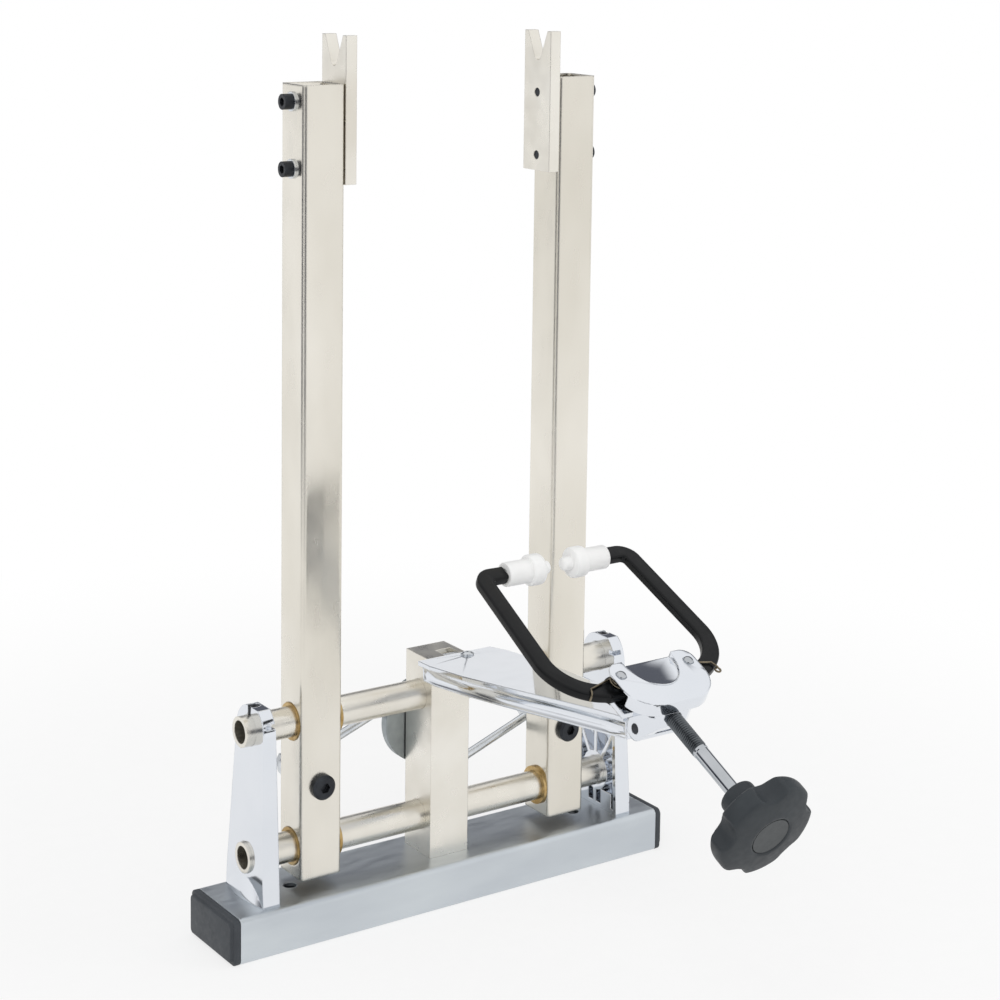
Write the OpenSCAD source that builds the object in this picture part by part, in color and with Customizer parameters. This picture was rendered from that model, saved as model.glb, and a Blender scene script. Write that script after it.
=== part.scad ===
// Bicycle wheel truing stand: two uprights slide on guide tubes and hold the axle,
// and a caliper arm swings up to the rim between them.
// X runs along the base, Y away from the mechanic, Z up, with the origin under the base.

/* [Base] */
// Length of the base tube without its end caps
base_l = 331; // [320:1:400]
// Width of the base tube, front to back
base_w = 60; // [58:1:80]
// Height of the base tube
base_h = 30; // [28:1:36]
// Wall of the base tube
base_wall = 2.5; // [2:0.1:3]
// Outer corner radius of the base tube
base_r = 3.4; // [3.2:0.1:5]
// Thickness of an end cap's outer plate
cap_t = 6.5; // [3:0.5:8]
// How far an end cap stands proud of the tube
cap_proud = 0; // [0:0.1:1.5]
// Length of an end cap's plug inside the tube
cap_plug_l = 10; // [8:1:16]
// Distance from an end of the base tube to a bench hole
bench_hole_in = 51.5; // [48:0.5:60]
// Diameter of a bench hole
bench_hole_d = 9; // [6:0.5:11]

/* [Guides] */
// Place of the guides, front to back
guide_y = 1.5; // [0:0.1:3]
// Height of the lower guide tube's axis
lower_z = 56; // [55:0.5:60]
// Height of the upper guide tube's axis
upper_z = 140; // [134:0.5:140]
// Outer diameter of a guide tube
guide_d = 20; // [18:0.5:20]
// Bore of a guide tube
guide_bore = 15; // [10:0.5:16]
// How far the lower tube stands out of each bracket
lower_out = 1.5; // [0:0.5:4]
// How far the upper tube stands out of each bracket's foot face
upper_out = 3.5; // [1:0.5:8]

/* [Brackets] */
// Distance from an end of the base tube to a bracket's outer face
bracket_inset = 19; // [17:0.5:22]
// Thickness of a bracket
bracket_t = 12; // [11:0.5:13]
// Depth of a bracket's foot, front to back
foot_w = 51; // [48:1:54]
// Radius of the collar in front of the upper tube
collar_r = 20; // [18:0.5:21]
// Radius of the collar behind that tube
collar_back_r = 16.5; // [16:0.5:17]
// Height of the collar's flat top above the tube's axis
collar_top = 16; // [15:0.5:17]
// How far the foot bulges outward
foot_bulge = 4; // [1:0.5:5]
// Height of the foot's bulge
foot_bulge_h = 14; // [8:1:20]
// Lean of a bracket's outer face, in degrees
bracket_lean = 1.7; // [0.5:0.1:2]
// Depth of the pocket in a bracket's inner face
pocket_depth = 8; // [5:0.5:8]
// Wall left round the pocket
pocket_wall = 3.5; // [2.5:0.5:4.5]
// Thickness of a rib in the pocket
rib_t = 3; // [2:0.5:4]

/* [Uprights] */
// Distance between the centres of the uprights at rest, as a share of the brackets' span
upright_share = 0.669; // [0.65:0.001:0.68]
// Width of an upright's square tube
upright_w = 30; // [28:0.5:32]
// Wall of an upright
upright_wall = 2; // [1.5:0.1:2.5]
// Outer corner radius of an upright
upright_r = 3; // [2.8:0.1:4]
// Height of an upright's lower end
upright_z0 = 37; // [34:0.5:38]
// Height of an upright's upper end
upright_z1 = 553.5; // [500:0.5:600]
// Outer diameter of a bushing's sleeve
bushing_d = 24; // [23:0.5:25]
// Length of a bushing's sleeve
bushing_l = 13; // [10:0.5:14]
// Diameter of a bushing's flange
bushing_flange_d = 26.5; // [26:0.5:28]
// Thickness of a bushing's flange
bushing_flange_t = 2; // [1:0.5:2.5]
// Diameter of the thin rim on a bushing's outer side
bushing_rim_d = 24.6; // [24.5:0.1:26]
// Thickness of that rim
bushing_rim_t = 0.6; // [0.4:0.1:1]

/* [Axle seats] */
// Thickness of an axle seat plate
seat_t = 8; // [6:0.5:10]
// Height of an axle seat plate
seat_l = 94.5; // [80:0.5:110]
// How far a seat plate stands above its upright
seat_above = 30.5; // [26:0.5:40]
// Width of the V at its mouth
vee_w = 22; // [18:0.5:24]
// Depth of the V
vee_depth = 19.5; // [16:0.5:24]
// Radius at the bottom of the V
vee_r = 4; // [3:0.5:5]
// Diameter of the screws that hold a seat plate
seat_screw_d = 6; // [5:0.5:7]
// Distance from the plate's lower end to the first screw
seat_screw_up = 10.5; // [8:0.5:16]
// Distance between the two screws
seat_screw_pitch = 42.5; // [30:0.5:48]

/* [Centring linkage] */
// Height of the rocker's pivot and of the link bolts
link_z = 98; // [94:0.5:102]
// Distance from the rocker's pivot to a link stud
rocker_throw = 34; // [30:0.5:36]
// Angle of the rocker's studs from upright, in degrees
rocker_angle = 20; // [10:1:30]
// Diameter of a link rod
link_rod_d = 6; // [5:0.5:7]
// Diameter of a link's eye
link_eye_d = 16; // [14:0.5:18]
// Diameter of a link bolt's shank
link_bolt_d = 8; // [6:0.5:10]
// Diameter of a link bolt's head
link_bolt_head_d = 16.5; // [14:0.5:20]
// Radius of a rocker lobe
rocker_r = 30; // [29.5:0.5:33]
// How far a lobe's centre lies from the rocker's pivot
rocker_lobe = 17; // [14:0.5:18]
// Thickness of the rocker's web
rocker_web = 3; // [2:0.5:3.5]
// Depth of the rocker's rim
rocker_rim_h = 6; // [5:0.2:6]
// Width of the rocker's rim
rocker_rim_w = 4; // [3:0.5:6]

/* [Centre block] */
// Width of the centre block
block_w = 30; // [28:0.5:34]
// Depth of the centre block, front to back
block_d = 32; // [30:0.5:34]
// Height of the centre block's top above the floor
block_z1 = 167; // [166:0.5:169]
// Width of the slot for the hinge tongue
tongue_slot_w = 12; // [10:0.5:14]
// Sideways place of the slot
tongue_x = 5; // [3:0.5:6]
// Height of the arm's hinge
hinge_z = 159; // [158:0.5:160]
// Distance of the arm's hinge behind the block's front face
hinge_back = 10.5; // [9:0.5:12]
// Diameter of the hinge pin
hinge_pin_d = 6; // [5:0.5:7]
// Radius of the tongue's round end
tongue_r = 7; // [6:0.2:7.2]

/* [Caliper arm] */
// Rise of the arm at rest, in degrees
arm_rise = 6; // [2:0.5:10]
// Distance from the arm's hinge to the head's pivot
arm_reach = 233.5; // [220:0.5:260]
// Height of the arm's top face above the hinge line
arm_top = 10.2; // [9.5:0.1:11]
// Thickness of the arm's top plate
arm_plate_t = 3; // [2:0.2:3.2]
// Depth of the arm's flanks below the top plate
arm_flank_h = 11; // [8:0.5:14]
// Width of the arm where it is widest
arm_w = 62; // [56:1:70]
// Distance from the hinge to the arm's rear edge
arm_rear = 15.8; // [15:0.2:18]
// Width over the fork at the arm's front end
fork_w = 24; // [23:0.5:24.4]
// Gap in the fork
fork_gap = 14; // [13.6:0.2:15]
// Radius of the fork's lugs
fork_r = 4.9; // [4.5:0.1:5.2]
// Height of the head's pivot above the hinge line
arm_pivot_h = 5.9; // [5:0.1:6.6]

/* [Caliper head] */
// Tilt of the head's plane at rest, in degrees
head_tilt = 25; // [10:1:30]
// Width of the head's cover
cover_w = 62; // [60:0.5:66]
// Thickness of the cover's top
cover_t = 2; // [1.5:0.1:2.5]
// Width over the body's cheeks
cheek_span = 32; // [32:0.5:34]
// Thickness of a cheek
cheek_t = 3.5; // [3:0.1:3.6]
// Diameter of the head's pivot pin
head_pin_d = 6; // [5:0.5:6]
// Distance from the cover's edge to a finger pin
finger_pin_inset = 6; // [5.5:0.5:7]
// Distance from the head's pivot to the finger pins
finger_pin_s = 16; // [15:0.5:18]
// Diameter of a finger pin
finger_pin_d = 6; // [5:0.5:6]
// Height of the fingers' mid plane above the head's pivot
finger_h = 19; // [18.5:0.1:19.5]

/* [Fingers] */
// Distance from the head's pivot to the fingertips' axis
finger_reach = 124; // [115:0.5:140]
// Width of a finger's bar
finger_w = 11; // [10:0.5:12]
// Thickness of a finger's bar
finger_t = 6; // [4:0.5:6]
// Half distance over the fingers at the tips' corner
finger_out = 61; // [60:0.5:68]
// How much wider the fingers are near the head, each side
finger_splay = 4; // [0:0.5:6]
// Outer radius at a finger's upper corner
finger_top_r = 13; // [12.5:0.5:15]
// Outer radius of a finger's lower bend
finger_bend_r = 38; // [36:0.5:40]
// Half distance between the ends of the two bars
finger_end_x = 38; // [36:0.5:42]
// Diameter of a nylon tip's shank
tip_d = 15; // [12:0.5:16]
// Diameter of a nylon tip's collar
tip_collar_d = 19.5; // [17:0.5:22]
// Diameter of a nylon tip's nose
tip_nose_d = 8.5; // [7:0.5:10]
// Half gap between the two noses at rest
tip_half_gap = 5; // [4:0.1:6]
// Length of a nose
tip_nose_l = 6.5; // [5:0.5:8]
// Length of a collar
tip_collar_l = 9.5; // [8:0.5:14]

/* [Adjusting screw] */
// Major diameter of the screw's thread
screw_d = 10; // [8:0.5:10]
// Diameter of the screw's plain shank
shank_d = 9; // [7:0.5:9]
// Length of the thread outside the head
thread_out = 26; // [18:0.5:32]
// Length of the plain shank between thread and knob
shank_l = 35.5; // [24:0.5:40]
// Radius over the knob's lobes
knob_r = 31.5; // [30:0.5:38]
// Thickness of the knob's lobed body
knob_t = 14.5; // [13:0.5:20]
// Rise of the knob's face from its lobes to its cap
knob_face_h = 3; // [1:0.5:5]
// Number of lobes
knob_lobes = 5; // [4:1:7]
// Radius of a lobe's round end
lobe_r = 10; // [9:0.5:12]
// Diameter of the knob's hub
hub_d = 22; // [20:0.5:26]
// Length of the hub behind the lobes
hub_l = 17; // [10:0.5:20]
// Diameter of the cap in the knob's face
knob_cap_d = 24; // [20:0.5:28]

/* [Springs] */
// Diameter of the spring wire
wire_d = 1.4; // [1.2:0.1:1.5]
// Mean radius of a spring's coil
coil_r = 5.2; // [5:0.1:6]
// Rise of the coil in one turn
coil_pitch = 1.95; // [1.95:0.05:2.1]

/* [Hidden] */
$fn = 64;

// Clearances and the overrun of every cut
overrun = 1;
snug = 0.02;
running = 0.05;
side_gap = 0.3;

// Base and its fixings
base_in_r = base_r - base_wall;
bench_hole_spacing = base_l - 2 * bench_hole_in;
plug_gap = 0.2;
cap_edge = 2;
bolt_d = 6;
bolt_head_d = 10;
bolt_head_h = 6;
bolt_reach = 12;
bolt_access_d = 12;
bracket_bolt_half = 13;
block_bolt_d = 8;
block_bolt_head_d = 13;
block_bolt_head_h = 8;
block_bolt_reach = 14;
block_bolt_half = 8;
block_access_d = 15;
bolt_boss_w = 12;
bolt_boss_h = 14;
tool_share = 0.58;
tool_depth_share = 0.55;

// Brackets
bracket_span = base_l - 2 * bracket_inset;
bracket_out = bracket_span / 2;
bracket_in = bracket_out - bracket_t;
bulge_r = (pow(foot_w / 2, 2) + pow(foot_bulge, 2)) / (2 * foot_bulge);
tube_boss_r = 14;
collar_slit_w = 3;
collar_slit_depth = 6;
collar_slit_l = 6.5;
collar_slit_up = 6.5;
collar_screw_d = 8;
collar_screw_sink = 1;
bracket_shift = 1;
collar_screw_l = collar_top - collar_screw_sink - guide_d / 2;
pocket_top = upper_z - collar_r;

// Uprights
upright_x = bracket_span * upright_share / 2;
upright_in = upright_x - upright_w / 2;
upright_out = upright_x + upright_w / 2;
upright_front = guide_y - upright_w / 2;
upright_back = guide_y + upright_w / 2;
upright_in_r = upright_r - upright_wall;
seat_z1 = upright_z1 + seat_above;
seat_z0 = seat_z1 - seat_l;
seat_screw_z = [seat_z0 + seat_screw_up, seat_z0 + seat_screw_up + seat_screw_pitch];
washer_t = 1.5;
washer_d = 12.5;
seat_head_d = 10;
seat_head_h = 6;
seat_screw_short = 0.5;
side_screw_z = 180;
side_screw_d = 9;
side_screw_h = 3;
side_screw_shank = 4;

// Linkage
block_front = guide_y - block_d / 2;
block_back = guide_y + block_d / 2;
rocker_gap = 1;
link_gap = 0.4;
rocker_y0 = block_back + rocker_gap;
eye_proud = 0.2;
link_t = link_rod_d + 2 * eye_proud;
link_y = rocker_y0 + rocker_rim_h + link_t / 2 + link_gap;
stud_x = -rocker_throw * sin(rocker_angle);
stud_up = rocker_throw * cos(rocker_angle);
link_run = upright_x + stud_x;
link_l = sqrt(pow(link_run, 2) + pow(stud_up, 2));
link_slope = atan2(stud_up, link_run);
stud_gap = 0.5;
link_end_d = 13;
rocker_boss_d = 16;
rocker_screw_d = 8;
rocker_screw_head_d = 14;
rocker_screw_head_h = 4;
rocker_screw_reach = 14;
link_head_h = 4.5;
link_head_edge = 1.5;
link_socket_d = 7;
link_socket_depth = 3;
spacer_d = 14;
link_nut_h = 6;
link_nut_d = 15;

// Centre block and hinge
hinge_y = block_front + hinge_back;
slot_gap = 0.6;
hinge_pin_bite = 5;
slot_floor = hinge_z - tongue_r - slot_gap;
slot_back = hinge_y + tongue_r + slot_gap;
hinge_pin_in = tongue_x - tongue_slot_w / 2 - hinge_pin_bite;

// Arm
arm_ends_shares = [0, 0.085, 0.27, 0.44, 0.56, 0.70, 0.88, 1];
arm_width_shares = [0.92, 1, 0.97, 0.86, 0.77, 0.65, 0.52, 0.468];
flank_out_share = 0.88;
flank_in_share = 0.74;
pocket_end_share = 0.88;
fork_back = 12.8;
arm_front = arm_reach - fork_back;
arm_l = arm_front - arm_rear;
fork_root = 4;
tongue_l = 45;
tongue_nose_share = 0.35;
tongue_side_gap = 0.3;
arm_screw_s = 24;
arm_screw_d = 5;
arm_screw_head_d = 9;
arm_screw_head_h = 2;
arm_screw_l = 11;

// Head: s runs from the pivot towards the tips, h square to the head's plane
finger_pin_x = cover_w / 2 - finger_pin_inset;
cover_ahead = 10;
cover_front = finger_pin_s + cover_ahead;
cover_back = -12.5;
cover_lip = 0.5;
cover_front_r = 8;
cover_back_r = 19;
cover_above = 10.5;
cover_top = finger_h + cover_above;
cover_in = cover_top - cover_t;
cover_wall = 2.5;
skirt_up = 1;
skirt_back = 15;
skirt_h0 = finger_h + skirt_up;
side_skirt_front = finger_pin_s - skirt_back;
scoop_gap = 7;
scoop_r = finger_pin_x - scoop_gap;
scoop_l = 25;
scoop_drop = 4;
scoop_edge = 1.2;
deck_top = finger_h - finger_t / 2 - side_gap;
deck_t = 4;
deck_inset = 1;
deck_w = cover_w - 2 * deck_inset;
deck_front = cover_front - deck_inset;
deck_step = -1;
deck_bridge = 2.5;
deck_slot_w = 13.5;
barrel_in_r = fork_r + side_gap;
barrel_end = 222;
wall_front = -9;
wall_back = cover_back + cover_lip;
wall_bow = 9;
wall_foot_h = 9;
cheek_r = 7.3;
screw_drop = 5;
screw_h = finger_h - screw_drop;
pin_head_d = 9;
pin_head_h = 1.6;
pin_head_top_share = 0.6;

// Wedge and finger tails
wedge_slope = 18.4;
wedge_s0 = -2.6;
wedge_s1 = 15.4;
wedge_back_half = 14;
wedge_front_half = wedge_back_half - (wedge_s1 - wedge_s0) * tan(wedge_slope);
wedge_gap = 0.5;
tail_r = 3.5;
tail_s = 4.1;
tail_x = wedge_back_half + (tail_r + wedge_gap) / cos(wedge_slope)
  - (tail_s - wedge_s0) * tan(wedge_slope);
tail_w = 6.4;
wedge_stem_w = deck_slot_w - 2 * side_gap;
wedge_stem_h0 = 7.5;
screw_end_gap = 0.2;

// Fingers
finger_boss_r = 8.4;
finger_drop = 2.5;
finger_corner_in_r = finger_top_r - finger_w;
finger_corner_x = finger_out - finger_top_r;
finger_corner_s = finger_reach + finger_w / 2 - finger_top_r;
finger_bend_x = finger_out + finger_splay - finger_bend_r;
finger_bend_s = finger_pin_s - finger_drop - finger_w / 2 + finger_bend_r;
finger_bend_in_r = finger_bend_r - finger_w;
tenon_d = 5;
tenon_l = 12;
tip_edge = 1.5;

// Screw and knob
thread_s0 = wedge_s0 - screw_end_gap;
thread_s1 = cover_back - thread_out;
shank_s1 = thread_s1 - shank_l;
hub_sink = 8;
knob_s0 = shank_s1 - hub_l;
knob_s1 = knob_s0 - knob_t;
knob_face_s = knob_s1 - knob_face_h;
knob_turn = 66;
shank_in_hub = hub_l + hub_sink;
knob_edge = 2;
knob_face_lip = 4;
knob_cap_sink = 1;
knob_cap_t = 2.5;
knob_core_share = 0.8;

// Springs
coil_start = 90;
coil_turns = 1.75;
coil_rings = 8;
wire_sides = 6;
leg_l = 21.4;
leg_bend = 1.5;
leg_rise = 4;
hook_l = 6;
coil_h0 = finger_h + finger_t / 2 + side_gap + wire_d / 2;

module side(s) {
  if (s < 0) mirror([1, 0, 0]) children();
  else children();
}

module rounded_rect(w, d, r) {
  square([w - 2 * r, d], center = true);
  square([w, d - 2 * r], center = true);
  for (sx = [-1, 1])
    for (sy = [-1, 1])
      translate([sx * (w / 2 - r), sy * (d / 2 - r)]) circle(r);
}

// An outline drawn as (front to back, up), given a thickness along X
module yz(t) {
  rotate([90, 0, 90]) linear_extrude(t) children();
}

// A cylinder along X, from its middle
module rod_x(l, d) {
  rotate([0, 90, 0]) cylinder(h = l, d = d, center = true);
}

// A cylinder along Y, from y0 to y1
module rod_y(y0, y1, d) {
  translate([0, y0, 0]) rotate([-90, 0, 0]) cylinder(h = y1 - y0, d = d);
}

// A cap screw with its head's seat at zero, head up and shank down
module cap_screw(d, l, head_d, head_h) {
  difference() {
    union() {
      translate([0, 0, -l]) cylinder(h = l + head_h / 2, d = d);
      cylinder(h = head_h, d = head_d);
    }
    translate([0, 0, head_h - head_h * tool_depth_share])
      cylinder(h = head_h, d = head_d * tool_share, $fn = 6);
  }
}

// Where a line from a point meets a circle about (0, cz) at a tangent, on the +x side
function tangent_point(px, pz, cz, r, above) =
  let (
    d = sqrt(px * px + pow(pz - cz, 2)),
    b = atan2(pz - cz, px),
    a = b + (above ? -1 : 1) * acos(r / d)
  ) [r * cos(a), cz + r * sin(a)];

module base_tube() {
  color("#aeb6bd")
  difference() {
    translate([-base_l / 2, 0, base_h / 2])
      yz(base_l)
        difference() {
          rounded_rect(base_w, base_h, base_r);
          rounded_rect(base_w - 2 * base_wall, base_h - 2 * base_wall, base_in_r);
        }
    for (s = [-1, 1]) {
      translate([s * bench_hole_spacing / 2, 0, -overrun])
        cylinder(h = base_h + 2 * overrun, d = bench_hole_d);
      for (y = [-bracket_bolt_half, bracket_bolt_half])
        translate([s * (bracket_out - bracket_t / 2), guide_y + y, -overrun]) {
          cylinder(h = base_h + 2 * overrun, d = bolt_d + 2 * snug);
          cylinder(h = base_wall + 2 * overrun, d = bolt_access_d);
        }
    }
    for (y = [-block_bolt_half, block_bolt_half])
      translate([0, guide_y + y, -overrun]) {
        cylinder(h = base_h + 2 * overrun, d = block_bolt_d + 2 * snug);
        cylinder(h = base_wall + 2 * overrun, d = block_access_d);
      }
  }
}

// The right hand cap; its underside is level with the tube's
module end_cap(s) {
  side(s)
  color("#2b2d30")
  union() {
    translate([base_l / 2, 0, (base_h + cap_proud) / 2]) {
      yz(cap_t - cap_edge) rounded_rect(base_w + 2 * cap_proud, base_h + cap_proud, base_r);
      yz(cap_t)
        rounded_rect(base_w + 2 * cap_proud - 2 * cap_edge, base_h + cap_proud - 2 * cap_edge,
          base_r);
    }
    translate([base_l / 2 - cap_plug_l, 0, base_h / 2])
      yz(cap_plug_l)
        difference() {
          square([base_w - 2 * base_wall - 2 * plug_gap - base_in_r,
            base_h - 2 * base_wall - 2 * plug_gap - base_in_r], center = true);
          square([base_w - 4 * base_wall - 2 * plug_gap - base_in_r,
            base_h - 4 * base_wall - 2 * plug_gap - base_in_r], center = true);
        }
  }
}
module end_cap_left() { end_cap(-1); }
module end_cap_right() { end_cap(1); }

// The bracket's side view, with its front and rear edges inset by a wall
module bracket_outline(inset) {
  foot = foot_w / 2 - inset;
  r = collar_r - inset;
  back_r = collar_back_r - inset;
  front = tangent_point(foot, base_h, upper_z, r, false);
  back = tangent_point(foot, base_h, upper_z, back_r, false);
  polygon([[-foot, base_h], [foot, base_h], back, [0, upper_z], [-front[0], front[1]]]);
  translate([0, upper_z]) {
    circle(back_r);
    intersection() {
      circle(r);
      translate([-2 * r, -r]) square(2 * r);
    }
  }
}

module bracket_pocket() {
  difference() {
    intersection() {
      bracket_outline(pocket_wall);
      translate([-foot_w / 2, base_h + pocket_wall])
        square([foot_w, pocket_top - base_h - pocket_wall]);
    }
    for (z = [lower_z, upper_z]) translate([0, z]) circle(tube_boss_r);
    translate([-rib_t / 2, base_h]) square([rib_t, upper_z - base_h]);
    for (a = [-1, 1]) {
      translate([0, lower_z]) rotate(a * 32) translate([-rib_t / 2, 0])
        square([rib_t, foot_w / 2 + tube_boss_r]);
      translate([a * bracket_bolt_half - bolt_boss_w / 2, base_h])
        square([bolt_boss_w, bolt_boss_h]);
    }
  }
}

module bracket(s) {
  side(s)
  color("#d6d9de")
  difference() {
    union() {
      difference() {
        translate([bracket_in, guide_y, 0]) yz(bracket_t) bracket_outline(0);
        translate([bracket_out, guide_y - foot_w, base_h + foot_bulge_h])
          rotate([0, -bracket_lean, 0])
            cube([bracket_t, 2 * foot_w, upper_z + collar_r]);
      }
      intersection() {
        translate([bracket_out + foot_bulge - bulge_r, guide_y, base_h])
          cylinder(h = foot_bulge_h, r1 = bulge_r, r2 = bulge_r - foot_bulge, $fn = 96);
        translate([bracket_in + bracket_t / 2, guide_y, 0]) yz(bracket_t) bracket_outline(0);
      }
    }
    translate([bracket_in - overrun, guide_y - collar_r, upper_z + collar_top])
      cube([bracket_t + 2 * overrun, 2 * collar_r, collar_r]);
    translate([bracket_in - overrun, guide_y, 0]) yz(pocket_depth + overrun) bracket_pocket();
    for (z = [lower_z, upper_z])
      translate([bracket_out, guide_y, z]) rod_x(4 * bracket_t, guide_d + 2 * snug);
    for (y = [-bracket_bolt_half, bracket_bolt_half])
      translate([bracket_out - bracket_t / 2, guide_y + y, base_h - overrun])
        cylinder(h = bolt_reach + 2 * overrun, d = bolt_d + 2 * snug);
    translate([bracket_out - bracket_t / 2 - bracket_shift, guide_y, upper_z])
      cylinder(h = collar_r + overrun, d = collar_screw_d + 2 * snug);
    translate([bracket_in - overrun, guide_y - collar_r - overrun,
      upper_z + collar_slit_up - collar_slit_w / 2])
      cube([collar_slit_l + overrun, collar_slit_depth + overrun, collar_slit_w]);
  }
}
module bracket_left() { bracket(-1); }
module bracket_right() { bracket(1); }

module bracket_bolts() {
  color("#3a3b3d")
  for (s = [-1, 1])
    for (y = [-bracket_bolt_half, bracket_bolt_half])
      translate([s * (bracket_out - bracket_t / 2), guide_y + y, base_h - base_wall])
        rotate([180, 0, 0])
          cap_screw(bolt_d, base_wall + bolt_reach, bolt_head_d, bolt_head_h);
}

module collar_screws() {
  color("#3a3b3d")
  for (s = [-1, 1])
    translate([s * (bracket_out - bracket_t / 2 - bracket_shift), guide_y,
      upper_z + collar_top - collar_screw_sink - collar_screw_l])
      difference() {
        cylinder(h = collar_screw_l, d = collar_screw_d);
        translate([0, 0, collar_screw_l / 2])
          cylinder(h = collar_screw_l, d = collar_screw_d * tool_share, $fn = 6);
      }
}

module guide_tube(z, out) {
  translate([0, guide_y, z])
    difference() {
      rod_x(bracket_span + 2 * out, guide_d);
      rod_x(bracket_span + 2 * out + 2 * overrun, guide_bore);
    }
}
module guide_tube_lower() { color("#c9c3b4") guide_tube(lower_z, lower_out); }
module guide_tube_upper() { color("#c9c3b4") guide_tube(upper_z, upper_out); }

module centre_block() {
  color("#c9c4b8")
  difference() {
    translate([-block_w / 2, block_front, base_h]) cube([block_w, block_d, block_z1 - base_h]);
    for (z = [lower_z, upper_z])
      translate([0, guide_y, z]) rod_x(block_w + 2 * overrun, guide_d + 2 * snug);
    for (y = [-block_bolt_half, block_bolt_half])
      translate([0, guide_y + y, base_h - overrun])
        cylinder(h = block_bolt_reach + 2 * overrun, d = block_bolt_d + 2 * snug);
    translate([0, 0, link_z])
      rod_y(block_back - rocker_screw_reach - overrun, block_back + overrun,
        rocker_screw_d + 2 * snug);
    translate([tongue_x - tongue_slot_w / 2, block_front - overrun, slot_floor])
      cube([tongue_slot_w, slot_back - block_front + overrun, block_z1]);
    translate([hinge_pin_in, hinge_y, hinge_z]) rotate([0, 90, 0])
      cylinder(h = block_w, d = hinge_pin_d + 2 * snug);
  }
}

module block_bolts() {
  color("#3a3b3d")
  for (y = [-block_bolt_half, block_bolt_half])
    translate([0, guide_y + y, base_h - base_wall]) rotate([180, 0, 0])
      cap_screw(block_bolt_d, base_wall + block_bolt_reach, block_bolt_head_d,
        block_bolt_head_h);
}

module hinge_pin() {
  color("#9a9a9a")
  translate([hinge_pin_in, hinge_y, hinge_z]) rotate([0, 90, 0])
    cylinder(h = block_w / 2 - hinge_pin_in, d = hinge_pin_d);
}

// One half of the rocker is a lobe to the left and above, the other its half turn
module rocker_shape(r) {
  for (turn = [0, 180])
    rotate(turn)
      intersection() {
        translate([0, rocker_lobe]) circle(r);
        translate([-2 * r, -2 * r]) square([2 * r + rocker_rim_w / 2, 4 * r + rocker_lobe]);
      }
}

module rocker() {
  color("#8e979b")
  translate([0, 0, link_z])
  difference() {
    union() {
      translate([0, rocker_y0 + rocker_web, 0]) rotate([90, 0, 0])
        linear_extrude(rocker_web) rocker_shape(rocker_r);
      translate([0, rocker_y0 + rocker_rim_h, 0]) rotate([90, 0, 0])
        linear_extrude(rocker_rim_h)
          difference() {
            rocker_shape(rocker_r);
            rocker_shape(rocker_r - rocker_rim_w);
          }
      rod_y(rocker_y0, rocker_y0 + rocker_rim_h, rocker_boss_d);
      for (k = [-1, 1])
        translate([k * stud_x, 0, k * stud_up])
          rod_y(rocker_y0, rocker_y0 + rocker_rim_h - stud_gap, link_end_d);
    }
    rod_y(rocker_y0 - overrun, rocker_y0 + rocker_rim_h + overrun, rocker_screw_d + 2 * running);
  }
}

module rocker_screw() {
  head_y = rocker_y0 + rocker_rim_h + side_gap;
  color("#b9bcc0")
  translate([0, 0, link_z])
  difference() {
    union() {
      rod_y(block_back - rocker_screw_reach, head_y + overrun, rocker_screw_d);
      rod_y(head_y, head_y + rocker_screw_head_h, rocker_screw_head_d);
    }
    translate([0, head_y + rocker_screw_head_h / 2, 0]) rotate([-90, 0, 0])
      cylinder(h = rocker_screw_head_h, d = rocker_screw_d, $fn = 6);
  }
}

// The left link, from the upright's bolt up to the rocker's upper stud
module link() {
  color("#b4babd")
  translate([-upright_x, link_y, link_z])
  difference() {
    union() {
      rod_y(-link_t / 2, link_t / 2, link_eye_d);
      rotate([0, 90 - link_slope, 0]) cylinder(h = link_l, d = link_rod_d);
      translate([link_run, 0, stud_up]) rod_y(-link_t / 2, link_t / 2, link_end_d);
    }
    rod_y(-link_t, link_t, link_bolt_d + 2 * running);
  }
}
module link_left() { link(); }
module link_right() {
  translate([0, 0, link_z]) rotate([0, 180, 0]) translate([0, 0, -link_z]) link();
}

module upright(s) {
  side(s)
  color("#cdc8bb")
  difference() {
    translate([upright_x, guide_y, upright_z0])
      linear_extrude(upright_z1 - upright_z0)
        difference() {
          rounded_rect(upright_w, upright_w, upright_r);
          rounded_rect(upright_w - 2 * upright_wall, upright_w - 2 * upright_wall,
            upright_in_r);
        }
    for (z = [lower_z, upper_z])
      translate([upright_x, guide_y, z]) rod_x(upright_w + 2 * overrun, bushing_d + 2 * snug);
    for (z = seat_screw_z)
      translate([upright_x, guide_y, z]) rod_x(upright_w + 2 * overrun, seat_screw_d + 2 * snug);
    translate([upright_x, 0, link_z])
      rod_y(upright_front - overrun, upright_back + overrun, link_bolt_d + 2 * snug);
    if (s > 0)
      translate([upright_out, guide_y, side_screw_z])
        rod_x(2 * upright_wall + 2 * overrun, side_screw_shank + 2 * snug);
  }
}
module upright_left() { upright(-1); }
module upright_right() { upright(1); }

module bushings(s) {
  side(s)
  color("#c79a4b")
  for (z = [lower_z, upper_z])
    for (face = [-1, 1])
      translate([upright_x + face * upright_w / 2, guide_y, z]) rotate([0, face * 90, 0])
        difference() {
          union() {
            translate([0, 0, -bushing_l]) cylinder(h = bushing_l, d = bushing_d);
            if (face < 0) cylinder(h = bushing_flange_t, d = bushing_flange_d);
            else cylinder(h = bushing_rim_t, d = bushing_rim_d);
          }
          translate([0, 0, -bushing_l - overrun])
            cylinder(h = bushing_l + bushing_flange_t + 2 * overrun, d = guide_d + 2 * running);
        }
}
module bushings_left() { bushings(-1); }
module bushings_right() { bushings(1); }

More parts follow.
